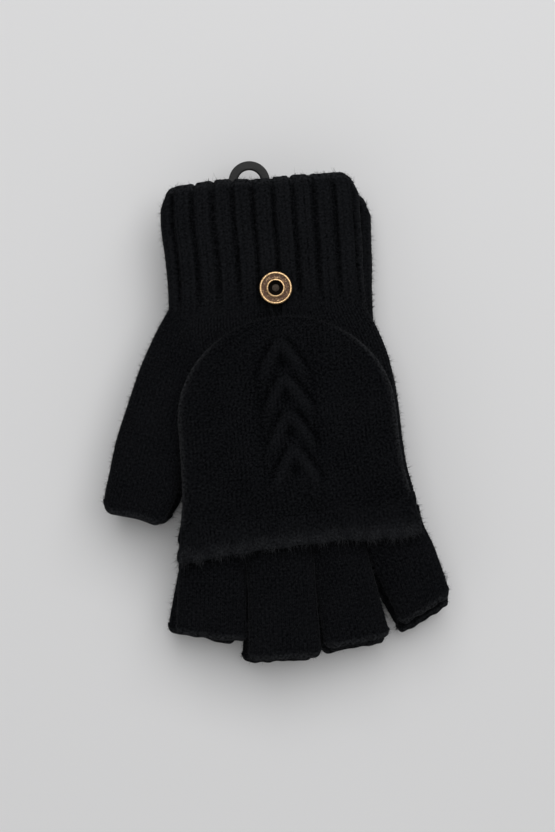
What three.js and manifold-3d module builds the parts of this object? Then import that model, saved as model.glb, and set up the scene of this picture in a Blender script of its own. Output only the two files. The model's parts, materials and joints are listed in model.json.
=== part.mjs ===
// A pair of knitted convertible mittens: two half-finger gloves lying palm to palm, each with a
// flip-top flap folded back against its cuff button, and one moulded hanger pinned between the cuffs.
// Millimetres, +Z up. The pair lies on a table with the fingers towards -Y and the cuffs towards +Y.
// Each glove is drawn once, back upwards, in a frame of its own: Z is 0 on the plane where the two
// palms meet, Y is 0 where the rib cuff meets the hand, and X is 0 on the centre line of the flap.
import * as THREE from "three";
import { mergeVertices } from "three/addons/utils/BufferGeometryUtils.js";
import Module from "manifold-3d";

const wasm = await Module();
wasm.setup();

// Driving dimensions
const GAP = 0.3; // clearance between pieces that touch
const SIDES = 24; // corners of a sleeve's section
const ROUND = 20; // corners of a turned piece
const BACK = 12.3; // height of the back of the hand over the palm plane
const CUFF = { length: 58, centre: -3.9, half: 43.2, low: 1.5, high: 13.3, wall: 2.3 };
const HAND = { knuckle: -98, low: 0.3, wall: 1.7 };
const DIGIT = { low: 4.1, high: 12, wall: 1.3 };
const THUMB = { lean: -18.5, low: 3.6, high: 12.1, wall: 1.5 };
const FLAP = { half: 48, crown: 44, shoulder: -48, waist: -73, panel: 2.4, bevel: 0.7, between: 0.4 };
const FLARE = { left: 3, right: 7, waist: 1.6 }; // how far the flap spreads towards its hinge
const WELT = { thick: 2.4, bevel: 0.9, top: -88.3 };
const SEAM = { radius: 0.45, over: 1.8, from: -42, length: 88 }; // the flap turns about this linked seam
const BUTTON = { y: 9, radius: 7.3, well: 3.2, neck: 2.5, bore: 1.5, cap: 2.2, stand: 2.3 };
const TACK = { radius: 1.15, plate: 5, plateThick: 0.8 };
const LOOP = { cord: 0.8, bend: 3.7, rise: 1.15 };
const HANGER = { x: -7.6, y: 58.6, ring: 9.3, eye: 5.2, thick: 2, tongue: 5.5, foot: 30, pinY: 45 };
const PIN = { radius: 0.6, bar: 0.8, barHalf: 4.5, hole: 1 };

// How the two gloves lie. Each is knitted alike, but the lower one is spread a little wider.
// pinAt is where the tag pin passes through each cuff, in the glove's own frame.
const pinAt = new THREE.Vector2(HANGER.x, HANGER.pinY);
const LEFT = { thumbTrim: 0, fan: 0, digitTrim: 0, pinAt };
const RIGHT = { thumbTrim: 4, fan: 2.5, digitTrim: 4, turn: THREE.MathUtils.degToRad(-2.4) };
RIGHT.shift = new THREE.Vector2(3.4, -7.2);
RIGHT.pinAt = pinAt.clone().sub(RIGHT.shift).rotateAround(new THREE.Vector2(), -RIGHT.turn);

const WOOL = { roughness: 0.95, metalness: 0 };
const knitBlack = new THREE.MeshStandardMaterial({ color: 0x121315, ...WOOL });
const ribBlack = new THREE.MeshStandardMaterial({ color: 0x141517, ...WOOL });
const yarnBlack = new THREE.MeshStandardMaterial({ color: 0x18191b, ...WOOL });
const antiqueBrass = new THREE.MeshStandardMaterial({ color: 0x9c7c50, roughness: 0.4, metalness: 1 });
const steel = new THREE.MeshStandardMaterial({ color: 0x6a6660, roughness: 0.45, metalness: 1 });
const blackPlastic = new THREE.MeshStandardMaterial({ color: 0x2b2c2e, roughness: 0.5, metalness: 0 });
const clearNylon = new THREE.MeshStandardMaterial({ color: 0x1d1d1f, roughness: 0.35, metalness: 0 });

// A closed mesh as a solid for cutting and joining.
function solid(geometry) {
  const bare = geometry.index ? geometry.toNonIndexed() : geometry.clone();
  bare.deleteAttribute("normal");
  bare.deleteAttribute("uv");
  const merged = mergeVertices(bare, 1e-4);
  return new wasm.Manifold(
    new wasm.Mesh({
      numProp: 3,
      vertProperties: merged.attributes.position.array,
      triVerts: new Uint32Array(merged.index.array),
    }),
  );
}

// The solid back as a geometry.
function geometryOf(made) {
  const mesh = made.getMesh();
  const geometry = new THREE.BufferGeometry();
  geometry.setAttribute("position", new THREE.BufferAttribute(mesh.vertProperties, 3));
  geometry.setIndex(new THREE.BufferAttribute(mesh.triVerts, 1));
  return geometry;
}

function boxSolid(x0, x1, y0, y1, z0, z1) {
  const box = new THREE.BoxGeometry(x1 - x0, y1 - y0, z1 - z0);
  box.translate((x0 + x1) / 2, (y0 + y1) / 2, (z0 + z1) / 2);
  return solid(box);
}

function postSolid(radius, x, y, z0, z1) {
  const post = new THREE.CylinderGeometry(radius, radius, z1 - z0, 16);
  post.rotateX(Math.PI / 2).translate(x, y, (z0 + z1) / 2);
  return solid(post);
}

// One section of a flattened knitted tube: a superellipse, squarer across than through.
// at: x, y of its middle, lean: degrees from -Y towards +X, half: half width, low and high: its faces.
function section(at, inset) {
  const lean = THREE.MathUtils.degToRad(at.lean ?? 0);
  const half = at.half - inset;
  const deep = (at.high - at.low) / 2 - inset;
  const bend = (value, power) => Math.sign(value) * Math.abs(value) ** power;
  const points = [];
  for (let i = 0; i < SIDES; i++) {
    const turn = (2 * Math.PI * (i + 0.5)) / SIDES;
    const across = half * bend(Math.cos(turn), 0.62);
    const through = deep * bend(Math.sin(turn), 0.85);
    points.push([
      at.x + across * Math.cos(lean),
      at.y + across * Math.sin(lean),
      (at.low + at.high) / 2 + through,
    ]);
  }
  return points;
}

// Joins rings of points into one closed surface; looped joins the last ring to the first.
function skin(rings, looped) {
  const count = rings[0].length;
  const index = [];
  const last = looped ? rings.length : rings.length - 1;
  for (let i = 0; i < last; i++) {
    for (let j = 0; j < count; j++) {
      const a = i * count + j;
      const b = i * count + ((j + 1) % count);
      const c = ((i + 1) % rings.length) * count + j;
      const d = ((i + 1) % rings.length) * count + ((j + 1) % count);
      index.push(a, b, c, b, d, c);
    }
  }
  if (!looped) {
    const end = (rings.length - 1) * count;
    for (let j = 1; j < count - 1; j++) {
      index.push(0, j + 1, j);
      index.push(end, end + j, end + j + 1);
    }
  }
  const geometry = new THREE.BufferGeometry();
  geometry.setAttribute("position", new THREE.Float32BufferAttribute(rings.flat(2), 3));
  geometry.setIndex(index);
  return geometry;
}

// A solid through the sections, drawn in by inset.
const filled = (stations, inset = 0) => skin(stations.map((at) => section(at, inset)), false);

// An open tube of the given wall through the sections.
function sleeve(stations, wall) {
  const outer = stations.map((at) => section(at, 0));
  const inner = stations.map((at) => section(at, wall)).reverse();
  return skin([...outer, ...inner], true);
}

// Stations run towards -Y, so that every surface faces out.
function span(y, left, right, low, high) {
  return { x: (left + right) / 2, y, half: (right - left) / 2, low, high };
}

function cuffGeometry({ pinAt }) {
  const { centre, half, low, high, length } = CUFF;
  // height, how much less the half width is there, and how much thinner each face
  const narrowing = [
    [length, 5.4, 0.9], [length - 2, 2.2, 0.3], [length - 6, 0.4, 0], [length / 2, 0, 0], [GAP, 0.4, 0.1],
  ];
  const stations = narrowing.map(([y, less, thin]) => ({
    x: centre, y, half: half - less, low: low + thin, high: high - thin,
  }));
  let cuff = solid(sleeve(stations, CUFF.wall));
  cuff = cuff.subtract(postSolid(BUTTON.neck + GAP, 0, BUTTON.y, high - CUFF.wall - 2, high + 1));
  cuff = cuff.subtract(postSolid(PIN.hole, pinAt.x, pinAt.y, low - 1, low + CUFF.wall + 1));
  return geometryOf(cuff);
}

const handStations = [
  span(6, -47, 37.4, 1.3, BACK),
  span(-GAP, -47.2, 37.6, 1.3, BACK),
  span(-13, -49, 43.6, 0.5, BACK),
  span(-28, -48.4, 47.6, HAND.low, BACK),
  span(-50, -47.6, 49.6, HAND.low, BACK),
  span(-72, -47.2, 50.8, HAND.low, BACK),
  span(-82, -48.6, 52.2, 1.6, BACK),
  span(-90, -50, 54, DIGIT.low, BACK - 0.1),
  span(HAND.knuckle, -51.6, 56, DIGIT.low + 0.1, BACK - 0.2),
];

// The thumb's root: a short branch that leaves the side of the hand below the cuff.
const thumbAt = (along, half, low, high) => {
  const lean = THREE.MathUtils.degToRad(THUMB.lean);
  const root = { x: -62.9, y: -61.6 }; // middle of the line where the thumb tube is picked up
  return {
    x: root.x + along * Math.sin(lean),
    y: root.y - along * Math.cos(lean),
    lean: THUMB.lean, half, low, high,
  };
};

const rootStations = [
  thumbAt(-72, 7, 3, 11.6),
  thumbAt(-58, 9.5, 1.6, 12.2),
  thumbAt(-40, 12.6, 1.2, BACK),
  thumbAt(-20, 14, 2, BACK),
  thumbAt(0, 15.8, THUMB.low, THUMB.high),
];

function handGeometry() {
  const inward = [...handStations];
  inward[0] = { ...inward[0], y: 8 };
  inward[inward.length - 1] = { ...inward.at(-1), y: HAND.knuckle - 2 };
  const reach = thumbAt(2, 15.8, THUMB.low, THUMB.high);
  const outside = solid(filled(handStations)).add(solid(filled(rootStations)));
  const branch = [...rootStations.slice(1), reach];
  const inside = solid(filled(inward, HAND.wall)).add(solid(filled(branch, HAND.wall)));
  const beyond = boxSolid(-120, 120, -GAP, 30, -10, 30); // all that lies on the cuff's side of the joint
  return geometryOf(outside.subtract(inside).subtract(beyond));
}

function thumbGeometry(lie) {
  const end = 26.2 - lie.thumbTrim;
  const { low, high, wall } = THUMB;
  return sleeve(
    [
      thumbAt(GAP, 15.7, low, high),
      thumbAt(12, 15.3, low, high),
      thumbAt(end - 3, 14.9, low, high),
      thumbAt(end, 14, low + 0.4, high - 0.4),
    ],
    wall,
  );
}

// Each finger: where it starts on the knuckle line, where its open end is, and how that end leans.
const fingers = {
  index_finger: { from: [-37.3, 14], mid: [-39.4, -118, 14.7, -5], to: [-42.2, -142.5, 15.4, -13], fan: -1 },
  middle_finger: { from: [-8.5, 14], mid: [-8.9, -124, 14.6, -1], to: [-10, -154.6, 15.8, -1], fan: -0.25 },
  ring_finger: { from: [16.9, 10.6], mid: [19, -122, 12.6, 5], to: [22.6, -150.2, 14.4, 7], fan: 0.4 },
  little_finger: { from: [42, 13.6], mid: [47.4, -117, 13.5, 18], to: [54.2, -138.6, 12.6, 28], fan: 1 },
};

function fingerGeometry({ from, mid, to, fan }, lie) {
  const { low, high, wall } = DIGIT;
  const bow = (x) => x + fan * lie.fan;
  const short = lie.digitTrim;
  const stations = [
    { x: from[0], y: HAND.knuckle - GAP, half: from[1], lean: 0, low, high },
    { x: (bow(mid[0]) + mid[0]) / 2, y: mid[1], half: mid[2], lean: mid[3], low, high },
    { x: bow(to[0]), y: to[1] + 3 + short, half: to[2], lean: to[3], low, high },
    { x: bow(to[0]), y: to[1] + short, half: to[2] - 1, lean: to[3], low: low + 0.5, high: high - 0.5 },
  ];
  return sleeve(stations, wall);
}

// The flap's outline above the given line: straight sides that spread a little, and an elliptical crown.
function flapShape(bottom) {
  const { half, crown, shoulder, waist } = FLAP;
  const spread = (shoulder - bottom) / (shoulder - HAND.knuckle);
  const shape = new THREE.Shape();
  shape.moveTo(-half - FLARE.left * spread ** 2, bottom);
  shape.lineTo(half + FLARE.right * spread ** 2, bottom);
  shape.lineTo(half + FLARE.waist, waist);
  shape.absellipse(0, shoulder, half, crown, 0, Math.PI, false);
  shape.lineTo(-half, waist);
  return shape;
}

function plate(shape, thick, bevel, z, curveSegments = 14) {
  const geometry = new THREE.ExtrudeGeometry(shape, {
    depth: thick - 2 * bevel,
    bevelThickness: bevel,
    bevelSize: bevel,
    bevelOffset: -bevel,
    bevelSegments: 2,
    curveSegments,
  });
  return geometry.translate(0, 0, z + bevel);
}

const hinge = BACK + SEAM.over;
const innerFace = hinge + FLAP.panel / 2 + FLAP.between;

function weltGeometry() {
  const shape = new THREE.Shape();
  shape.moveTo(-49.9, WELT.top);
  shape.lineTo(-52.8, -102);
  shape.quadraticCurveTo(-53.4, -106.4, -49, -106.6);
  shape.quadraticCurveTo(0, -102.8, 51.5, -105.4);
  shape.quadraticCurveTo(56.4, -105.4, 55.6, -100);
  shape.lineTo(53.2, WELT.top);
  return plate(shape, WELT.thick, WELT.bevel, innerFace);
}

// The linked seam: one thick yarn along the knuckles, with a keel down to the back of the hand.
function seamGeometry() {
  const profile = new THREE.Shape();
  profile.absarc(0, 0, SEAM.radius, 0, Math.PI, false);
  profile.lineTo(-SEAM.radius * 0.8, GAP - SEAM.over);
  profile.lineTo(SEAM.radius * 0.8, GAP - SEAM.over);
  const seam = new THREE.ExtrudeGeometry(profile, { depth: SEAM.length, bevelEnabled: false, curveSegments: 6 });
  seam.rotateX(Math.PI / 2).rotateZ(Math.PI / 2);
  return seam.translate(SEAM.from, HAND.knuckle, hinge);
}

function turned(profile, segments = ROUND) {
  const points = profile.map(([radius, height]) => new THREE.Vector2(radius, height));
  return new THREE.LatheGeometry([...points, points[0]], segments).rotateX(Math.PI / 2);
}

// Open-top tack button: a dished ring on a hollow neck, seen from the fabric upwards.
function buttonGeometry() {
  const { radius, well, neck, bore, cap, stand } = BUTTON;
  const top = stand + cap;
  return turned([
    [bore, 0], [neck, 0], [neck, stand], [radius - 0.6, stand], [radius, stand + 0.5],
    [radius, top - 0.7], [radius - 0.35, top - 0.25], [radius - 0.9, top - 0.3], [radius - 1.2, top - 0.7],
    [well + 1.2, top - 0.5], [well + 0.7, top], [well + 0.25, top], [well, top - 0.3],
    [well - 0.2, stand + 0.7], [bore, stand + 0.7],
  ]);
}

// The tack that rivets the button from inside the cuff: a plate, a post and a rounded tip.
function tackGeometry() {
  const { radius, plate: wide, plateThick } = TACK;
  const tip = CUFF.wall + GAP + BUTTON.stand + 1.3;
  return turned([
    [0, -plateThick], [wide - 0.3, -plateThick], [wide, -plateThick / 2], [wide - 0.3, 0],
    [radius, 0], [radius, tip - 0.6], [radius * 0.6, tip - 0.1], [0, tip],
  ], 20);
}

// The elastic loop: up one side of the button's neck, round it and back.
function loopGeometry() {
  const foot = FLAP.shoulder + FLAP.crown + GAP + 0.2;
  const path = new THREE.CurvePath();
  const { y } = BUTTON;
  const bend = LOOP.bend;
  path.add(new THREE.LineCurve3(new THREE.Vector3(-bend * 0.7, foot, 0), new THREE.Vector3(-bend, y, 0)));
  const arc = new THREE.CatmullRomCurve3(
    Array.from({ length: 9 }, (_, i) => {
      const turn = Math.PI * (1 - i / 8);
      return new THREE.Vector3(bend * Math.cos(turn), y + bend * Math.sin(turn), 0);
    }),
  );
  path.add(arc);
  path.add(new THREE.LineCurve3(new THREE.Vector3(bend, y, 0), new THREE.Vector3(bend * 0.7, foot, 0)));
  const line = new THREE.CatmullRomCurve3(path.getSpacedPoints(26));
  const round = new THREE.Shape().absarc(0, 0, LOOP.cord, 0, 2 * Math.PI, false);
  return new THREE.ExtrudeGeometry(round, { steps: 26, extrudePath: line, curveSegments: 4 })
    .translate(0, 0, CUFF.high + LOOP.rise);
}

// Moulded hanger: a flat ring, a tongue that lies between the cuffs, and a hole for the tag pin.
function hangerGeometry() {
  const { x, y, ring, eye, thick, tongue, foot, pinY } = HANGER;
  const corner = 3;
  const outline = new THREE.Shape();
  const shoulder = Math.asin(tongue / ring);
  outline.absarc(x, y, ring, shoulder - Math.PI / 2, (3 * Math.PI) / 2 - shoulder, false);
  outline.lineTo(x - tongue, foot + corner);
  outline.quadraticCurveTo(x - tongue, foot, x - tongue + corner, foot);
  outline.lineTo(x + tongue - corner, foot);
  outline.quadraticCurveTo(x + tongue, foot, x + tongue, foot + corner);
  outline.holes.push(new THREE.Path().absarc(x, y, eye, 0, 2 * Math.PI, true));
  outline.holes.push(new THREE.Path().absarc(x, pinY, PIN.hole + 0.1, 0, 2 * Math.PI, true));
  return plate(outline, thick, 0.4, -thick / 2, 9);
}

// Nylon tag pin: a thin stem through both cuffs and the hanger, with a cross bar inside each cuff.
function pinGeometry() {
  const reach = CUFF.low + CUFF.wall + GAP + PIN.bar;
  let pin = postSolid(PIN.radius, HANGER.x, HANGER.pinY, -reach, reach);
  for (const side of [-1, 1]) {
    const bar = new THREE.CylinderGeometry(PIN.bar, PIN.bar, 2 * PIN.barHalf, 12);
    bar.rotateZ(Math.PI / 2).translate(HANGER.x, HANGER.pinY, side * reach);
    pin = pin.add(solid(bar));
  }
  return geometryOf(pin);
}

function piece(name, geometry, material, place = [0, 0, 0]) {
  const mesh = new THREE.Mesh(geometry, material);
  mesh.name = name;
  mesh.position.set(...place);
  return mesh;
}

function glove(side, lie) {
  const group = new THREE.Group();
  const add = (name, ...rest) => group.add(piece(`${side}_${name}`, ...rest));
  add("rib_cuff", cuffGeometry(lie), ribBlack);
  add("hand", handGeometry(), knitBlack);
  add("thumb", thumbGeometry(lie), knitBlack);
  for (const [name, finger] of Object.entries(fingers)) add(name, fingerGeometry(finger, lie), knitBlack);
  const seamLine = HAND.knuckle + SEAM.radius + 0.2;
  add("flap_seam", seamGeometry(), yarnBlack);
  add("flap_back_layer", plate(flapShape(seamLine), FLAP.panel, FLAP.bevel, hinge - FLAP.panel / 2), knitBlack);
  add("flap_palm_layer", plate(flapShape(WELT.top + GAP), FLAP.panel, FLAP.bevel, innerFace), knitBlack);
  add("flap_welt", weltGeometry(), ribBlack);
  add("button_cap", buttonGeometry(), antiqueBrass, [0, BUTTON.y, CUFF.high + GAP]);
  add("button_tack", tackGeometry(), steel, [0, BUTTON.y, CUFF.high - CUFF.wall - GAP]);
  add("button_loop", loopGeometry(), yarnBlack);
  return group;
}

const pair = new THREE.Group();
pair.add(glove("left", LEFT));

const right = glove("right", RIGHT);
right.scale.z = -1;
right.rotation.z = RIGHT.turn;
right.position.set(RIGHT.shift.x, RIGHT.shift.y, 0);
pair.add(right);

pair.add(piece("hanger_hook", hangerGeometry(), blackPlastic));
pair.add(piece("tag_pin", pinGeometry(), clearNylon));

// The origin is on the table, under the middle of the whole pair.
const box = new THREE.Box3().setFromObject(pair);
const middle = box.getCenter(new THREE.Vector3());
pair.position.set(-middle.x, -middle.y, -box.min.z);

export default new THREE.Group().add(pair);
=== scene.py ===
"""A pair of convertible flip-top mittens: knit cuffs, hands, half fingers, folded-back flaps, brass
buttons with elastic loops, and the moulded hanger that is pinned between the two cuffs."""

import json
import math

import bmesh
import bpy
import numpy as np
from bpy.props import FloatProperty, FloatVectorProperty, IntProperty, PointerProperty
from mathutils import Matrix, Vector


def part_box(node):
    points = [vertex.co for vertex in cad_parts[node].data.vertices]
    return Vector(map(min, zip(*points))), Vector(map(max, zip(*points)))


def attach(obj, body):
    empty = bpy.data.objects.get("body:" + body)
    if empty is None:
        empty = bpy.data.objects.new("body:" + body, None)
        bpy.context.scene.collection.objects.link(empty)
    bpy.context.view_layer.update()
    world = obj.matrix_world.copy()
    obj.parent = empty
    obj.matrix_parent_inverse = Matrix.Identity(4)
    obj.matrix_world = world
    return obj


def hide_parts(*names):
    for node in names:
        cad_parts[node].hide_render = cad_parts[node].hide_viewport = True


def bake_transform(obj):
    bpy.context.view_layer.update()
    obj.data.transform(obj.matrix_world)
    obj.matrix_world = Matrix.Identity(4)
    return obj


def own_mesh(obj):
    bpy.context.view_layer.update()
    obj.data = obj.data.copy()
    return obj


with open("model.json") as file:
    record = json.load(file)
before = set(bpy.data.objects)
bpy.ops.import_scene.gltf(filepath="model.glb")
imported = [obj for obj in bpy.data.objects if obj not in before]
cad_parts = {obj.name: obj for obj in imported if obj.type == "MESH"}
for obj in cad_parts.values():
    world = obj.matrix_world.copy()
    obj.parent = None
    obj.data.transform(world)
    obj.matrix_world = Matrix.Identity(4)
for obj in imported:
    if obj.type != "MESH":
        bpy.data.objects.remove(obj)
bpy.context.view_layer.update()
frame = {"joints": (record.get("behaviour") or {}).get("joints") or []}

bl_info = {
    "name": "Convertible flip-top mittens",
    "version": (1, 0, 0),
    "blender": (4, 5, 0),
    "location": "View3D > Sidebar > Mittens",
    "description": "Builds a pair of knitted convertible mittens around their packed frame",
    "category": "Add Mesh",
}

MM = 0.001
JOINTS = {joint["name"]: joint for joint in frame["joints"]}

# Each glove is drawn once, back upwards, in millimetres of its own: Z is 0 where the palms meet, Y
# is 0 where cuff meets hand, X is 0 on the flap's centre line. These are the frame's own dimensions.
KNUCKLE = -98.0
HINGE = 14.1
BACK = 12.3
FLAP_CROWN = 44.0
FLAP_SHOULDER = -48.0
WELT_TOP = -88.3
BUTTON_Y = 9.0
BUTTON_SEAT = 13.6
HANGER_X, HANGER_Y, PIN_Y = -7.6, 58.6, 45.0
CLOTH = 11  # the seed of the slack that pieces knitted together share


class Lie:
    """Where one glove of the pair lies: takes its own millimetres to the row frame's metres."""

    def __init__(self, side):
        joint = JOINTS[f"{side}_flap_flip"]
        self.side = side
        self.sign = 1.0 if side == "left" else -1.0
        self.origin = np.array(joint["pos_m"], float)
        self.across = np.array(joint["axis"], float) * self.sign
        self.along = np.array([-self.across[1], self.across[0], 0.0])
        self.glove = f"{side}_glove"
        self.flap = f"{side}_flap"
        self.pocket = f"{side}_flap_pocket"
        self.lower = side == "right"
        self.fan = 2.5 if self.lower else 0.0
        self.trim = 4.0 if self.lower else 0.0

    def row(self, points):
        p = np.asarray(points, float)
        x, y, z = p[..., 0:1], p[..., 1:2] - KNUCKLE, (p[..., 2:3] - HINGE) * self.sign
        return self.origin + (x * self.across + y * self.along + z * np.array([0.0, 0.0, 1.0])) * MM


GLOVES = [Lie("left"), Lie("right")]


# ---------------------------------------------------------------- settings


class KnitSettings(bpy.types.PropertyGroup):
    wale: FloatProperty(
        name="Wale pitch", description="Width of one knit column, in mm", default=1.7, min=0.5
    )
    course: FloatProperty(
        name="Course pitch", description="Height of one knit row, in mm", default=1.35, min=0.5
    )
    relief: FloatProperty(
        name="Stitch relief", description="Height of a stitch, in mm", default=0.5, min=0.0
    )
    ribs: IntProperty(name="Ribs", description="Number of ribs round a cuff", default=20, min=4)
    rib_relief: FloatProperty(
        name="Rib relief", description="Depth of a cuff's ribs, in mm", default=2.1, min=0.0
    )
    cable_relief: FloatProperty(
        name="Cable relief", description="Height of the chevrons, in mm", default=1.35
    )
    halo: FloatProperty(
        name="Halo length", description="Length of a loose fibre, in mm", default=1.4, min=0.0
    )
    softness: FloatProperty(
        name="Softness", description="Height of the slack waves, in mm", default=0.3, min=0.0
    )


class ColourSettings(bpy.types.PropertyGroup):
    wool: FloatVectorProperty(
        name="Wool", description="Dyed wool, sRGB", subtype="COLOR_GAMMA",
        default=(0.008, 0.010, 0.014),
    )
    # the lighter wool: the yarn's paler clumps, and the painted highlight laid on raised stitches
    wool_tips_and_highlight: FloatVectorProperty(
        name="Wool tips", description="Raised stitches, sRGB", subtype="COLOR_GAMMA",
        default=(0.114, 0.118, 0.128),
    )
    # pale grey of rubbed fuzz, which also serves as painted sheen on cloth seen edge on and on the
    # hem's fold
    wool_worn_and_sheen: FloatVectorProperty(
        name="Rubbed wool", description="Fuzz on folds and rims, sRGB", subtype="COLOR_GAMMA",
        default=(0.27, 0.275, 0.285),
    )
    brass: FloatVectorProperty(
        name="Worn brass", description="Rubbed rims, sRGB", subtype="COLOR_GAMMA",
        default=(0.87, 0.73, 0.55),
    )
    patina: FloatVectorProperty(
        name="Patina", description="Aged hollows, sRGB", subtype="COLOR_GAMMA",
        default=(0.36, 0.28, 0.24),
    )
    plastic: FloatVectorProperty(
        name="Hanger", description="Moulded plastic, sRGB", subtype="COLOR_GAMMA",
        default=(0.035, 0.035, 0.037),
    )
    floor: FloatVectorProperty(
        name="Table", description="Pale table top, sRGB", subtype="COLOR_GAMMA",
        default=(0.875, 0.875, 0.879),
    )


class StageSettings(bpy.types.PropertyGroup):
    lens: FloatProperty(name="Lens", description="Focal length, in mm", default=85.0, min=1.0)
    height: FloatProperty(
        name="Camera height", description="Above the table", default=0.901, unit="LENGTH"
    )
    turn: FloatProperty(
        name="Turn", description="Camera's turn about the vertical", default=math.radians(-5.0),
        subtype="ANGLE",
    )
    key: FloatProperty(
        name="Key light", description="Power of the soft window light", default=24.2, unit="POWER"
    )
    fill: FloatProperty(
        name="Fill light", description="Power of the weak light opposite", default=0.9, unit="POWER"
    )
    sky: FloatProperty(
        name="Room light", description="Strength of the even room light", default=0.37, min=0.0
    )


# ---------------------------------------------------------------- shapes


def smoothstep(low, high, value):
    t = np.clip((value - low) / (high - low), 0.0, 1.0)
    return t * t * (3.0 - 2.0 * t)


def curve_through(knots, at):
    """A smooth curve through knots (position, value...), read at the positions given."""
    knots = np.asarray(knots, float)
    s, values = knots[:, 0], knots[:, 1:]
    slope = np.gradient(values, s, axis=0)
    at = np.asarray(at, float)
    i = np.clip(np.searchsorted(s, at) - 1, 0, len(s) - 2)
    width = s[i + 1] - s[i]
    t = np.clip((at - s[i]) / width, 0.0, 1.0)[:, None]
    width = width[:, None]
    a = (1 + 2 * t) * (1 - t) ** 2
    b = t * (1 - t) ** 2
    c = t * t * (3 - 2 * t)
    d = t * t * (t - 1)
    return a * values[i] + b * width * slope[i] + c * values[i + 1] + d * width * slope[i + 1]


def waves(x, y, seed, amount, scale=24.0):
    """Slack in soft cloth: a few long waves that cross, always the same for one seed."""
    rng = np.random.default_rng(seed)
    total = np.zeros(np.broadcast(x, y).shape)
    for _ in range(6):
        angle, phase = rng.uniform(0, 2 * math.pi, 2)
        wave = 2 * math.pi / (scale * rng.uniform(0.6, 1.7))
        total = total + np.sin((x * math.cos(angle) + y * math.sin(angle)) * wave + phase)
    return total * amount / 3.0


def slack(grid, seed=CLOTH):
    """How far soft cloth lifts off its flat lie, in mm."""
    return 0.5 * waves(grid[..., 0], grid[..., 1], seed, bpy.context.scene.mitten_knit.softness)


def stitches(u, v):
    """Height of plain knit, 0 to 1: u counts wales and v courses; each stitch is a V of two legs."""
    foot, slant, yarn, middle, tall = 0.07, 0.27, 0.23, 0.45, 0.78  # of a wale, then of a course
    best = np.zeros(np.broadcast(u, v).shape)
    wale = np.floor(u)
    w = np.abs(u - wale - 0.5)
    for k in (-1, 0, 1):
        c = v - np.floor(v) + k
        leg = (w - foot - slant * c) / yarn
        lift = np.clip(1.0 - ((c - middle) / tall) ** 2, 0.0, 1.0)
        # no two stitches are drawn up alike
        scatter = np.sin(wale * 12.9898 + (np.floor(v) - k) * 78.233)
        uneven = 0.5 + 0.5 * scatter * np.sin(wale * 3.7 + v * 0.9)
        round_leg = np.sqrt(np.clip(1.0 - leg * leg, 0.0, 1.0))
        best = np.maximum(best, round_leg * lift * (0.55 + 0.45 * uneven))
    return best


def normals_of(grid, row):
    """Unit normals of rings of points, pointing out of the ring at the row given."""
    du = np.roll(grid, -1, 1) - np.roll(grid, 1, 1)
    dv = np.gradient(grid, axis=0)
    n = np.cross(du, dv)
    n = n / np.maximum(np.linalg.norm(n, axis=2, keepdims=True), 1e-9)
    return n * np.sign(np.sum(n[row] * (grid[row] - grid[row].mean(0)), -1).mean())


def boxed(wave, power):
    """A sine or cosine for a section: a power of 1 makes it round, a smaller one boxy."""
    return np.sign(wave) * np.abs(wave) ** power


def bell(value):
    """1 where the value is 0, falling away to nothing within about 2 of it."""
    return np.exp(-(value**2))


def once_round(count):
    """So many evenly spaced angles, once round a circle."""
    return np.arange(count) / count * 2 * math.pi


def superellipse(half, deep, count, square):
    """Points round a flattened section, evenly spaced: right edge, back, left edge, palm side."""
    turn = np.linspace(0.0, 2 * math.pi, 721)
    across = half[:, None] * boxed(np.cos(turn), square)
    through = deep[:, None] * boxed(np.sin(turn), 0.85)
    return evenly(across, through, count)


def stadium(half, deep, count):
    """Points round a flat section with round edges, evenly spaced, as superellipse."""
    edge = np.minimum(half, deep)
    turn = np.linspace(0.0, math.pi / 2, 25)
    flat = (half - edge)[:, None]
    quarter_x = flat + edge[:, None] * np.cos(turn)
    quarter_z = deep[:, None] * np.sin(turn)
    mid = np.linspace(1.0, -1.0, 60)[1:-1]
    across = [quarter_x, flat * mid, -quarter_x[:, ::-1], -quarter_x, -flat * mid, quarter_x[:, ::-1]]
    top = deep[:, None] * np.ones(len(mid))
    through = [quarter_z, top, quarter_z[:, ::-1], -quarter_z, -top, -quarter_z[:, ::-1]]
    return evenly(np.concatenate(across, 1), np.concatenate(through, 1), count)


def evenly(across, through, count):
    """Closed outlines, one a row, drawn again with so many evenly spaced points."""
    step = np.hypot(np.diff(across, axis=1), np.diff(through, axis=1))
    run = np.concatenate([np.zeros((len(step), 1)), np.cumsum(step, 1)], 1)
    share = np.arange(count) / count
    out = np.empty((len(run), count, 2))
    for i, length in enumerate(run):
        out[i, :, 0] = np.interp(share * length[-1], length, across[i])
        out[i, :, 1] = np.interp(share * length[-1], length, through[i])
    return out


def link(name, data):
    """A new object in the scene."""
    piece = bpy.data.objects.new(name, data)
    bpy.context.scene.collection.objects.link(piece)
    return piece


def point_value(mesh, label, values):
    layer = mesh.attributes.new(label, "FLOAT", "POINT")
    layer.data.foreach_set("value", np.asarray(values, np.float32).ravel())


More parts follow.
